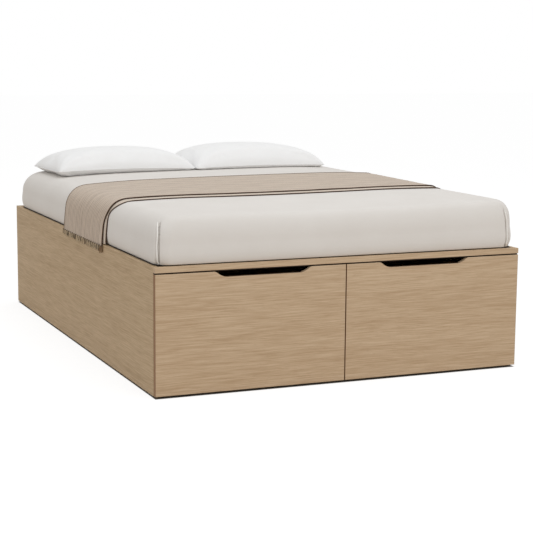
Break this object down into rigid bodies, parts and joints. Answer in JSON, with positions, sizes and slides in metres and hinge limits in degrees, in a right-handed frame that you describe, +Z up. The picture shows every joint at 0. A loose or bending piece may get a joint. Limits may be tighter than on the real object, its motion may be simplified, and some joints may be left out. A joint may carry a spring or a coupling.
{
  "type": "storage platform bed",
  "caption": "Low oak-veneer platform bed with a slatted deck and foot-end drawers on telescopic runners, dressed with mattress, fitted sheet, pillows and a folded throw.",
  "frame": {"origin": "on the floor under the middle of the bed", "axes": "+X across the bed to the right as seen from the foot, +Y from the foot to the head, +Z up"},
  "size_m": [1.4668, 2.05, 0.7475],
  "materials": {
    "oak_veneer": "matte",
    "birch_ply": "matte",
    "pine": "matte",
    "zinc_steel": "satin",
    "nylon": "matte",
    "felt": "matte",
    "mattress_ticking": "matte",
    "white_cotton": "matte",
    "taupe_wool": "matte"
  },
  "bodies": {
    "bed_frame": {"centre_divider": "oak_veneer", "corner_brackets": "zinc_steel", "cross_panel": "oak_veneer", "fitted_sheet": "white_cotton", "floor_glides": "nylon", "foot_rail": "oak_veneer", "foot_stretcher": "oak_veneer", "front_bumpers": "felt", "head_panel": "oak_veneer", "head_support": "oak_veneer", "left_cabinet_members": "zinc_steel", "lower_tie_left": "oak_veneer", "lower_tie_right": "oak_veneer", "mattress": "mattress_ticking", "pillow_left": "white_cotton", "pillow_right": "white_cotton", "right_cabinet_members": "zinc_steel", "side_panel_left": "oak_veneer", "side_panel_right": "oak_veneer", "slat_01": "pine", "slat_02": "pine", "slat_03": "pine", "slat_04": "pine", "slat_05": "pine", "slat_06": "pine", "slat_07": "pine", "slat_08": "pine", "slat_09": "pine", "slat_10": "pine", "slat_11": "pine", "slat_12": "pine", "slat_ledger_left": "pine", "slat_ledger_right": "pine", "throw_blanket": "taupe_wool"},
    "left_middle": {"left_middle_members": "zinc_steel"},
    "left_outer_cage": {"left_outer_cages": "nylon"},
    "left_inner_cage": {"left_inner_cages": "nylon"},
    "left_drawer": {"left_drawer_back": "birch_ply", "left_drawer_box_front": "birch_ply", "left_drawer_floor": "birch_ply", "left_drawer_front": "oak_veneer", "left_drawer_inner_side": "birch_ply", "left_drawer_members": "zinc_steel", "left_drawer_outer_side": "birch_ply"},
    "right_middle": {"right_middle_members": "zinc_steel"},
    "right_outer_cage": {"right_outer_cages": "nylon"},
    "right_inner_cage": {"right_inner_cages": "nylon"},
    "right_drawer": {"right_drawer_back": "birch_ply", "right_drawer_box_front": "birch_ply", "right_drawer_floor": "birch_ply", "right_drawer_front": "oak_veneer", "right_drawer_inner_side": "birch_ply", "right_drawer_members": "zinc_steel", "right_drawer_outer_side": "birch_ply"}
  },
  "joints": [
    {"name": "left_drawer_slide", "type": "slide", "parent": "bed_frame", "child": "left_drawer", "axis": [0, -1, 0], "range_m": [0, 0.78]},
    {"name": "left_middle_slide", "type": "slide", "parent": "bed_frame", "child": "left_middle", "axis": [0, -1, 0], "range_m": [0, 0.39]},
    {"name": "left_outer_cage_slide", "type": "slide", "parent": "bed_frame", "child": "left_outer_cage", "axis": [0, -1, 0], "range_m": [0, 0.195]},
    {"name": "left_inner_cage_slide", "type": "slide", "parent": "bed_frame", "child": "left_inner_cage", "axis": [0, -1, 0], "range_m": [0, 0.585]},
    {"name": "right_drawer_slide", "type": "slide", "parent": "bed_frame", "child": "right_drawer", "axis": [0, -1, 0], "range_m": [0, 0.78]},
    {"name": "right_middle_slide", "type": "slide", "parent": "bed_frame", "child": "right_middle", "axis": [0, -1, 0], "range_m": [0, 0.39]},
    {"name": "right_outer_cage_slide", "type": "slide", "parent": "bed_frame", "child": "right_outer_cage", "axis": [0, -1, 0], "range_m": [0, 0.195]},
    {"name": "right_inner_cage_slide", "type": "slide", "parent": "bed_frame", "child": "right_inner_cage", "axis": [0, -1, 0], "range_m": [0, 0.585]}
  ],
  "couplings": [
    {"joint": "left_middle_slide", "follows": "left_drawer_slide", "ratio": 0.5},
    {"joint": "left_outer_cage_slide", "follows": "left_drawer_slide", "ratio": 0.25},
    {"joint": "left_inner_cage_slide", "follows": "left_drawer_slide", "ratio": 0.75},
    {"joint": "right_middle_slide", "follows": "right_drawer_slide", "ratio": 0.5},
    {"joint": "right_outer_cage_slide", "follows": "right_drawer_slide", "ratio": 0.25},
    {"joint": "right_inner_cage_slide", "follows": "right_drawer_slide", "ratio": 0.75}
  ]
}
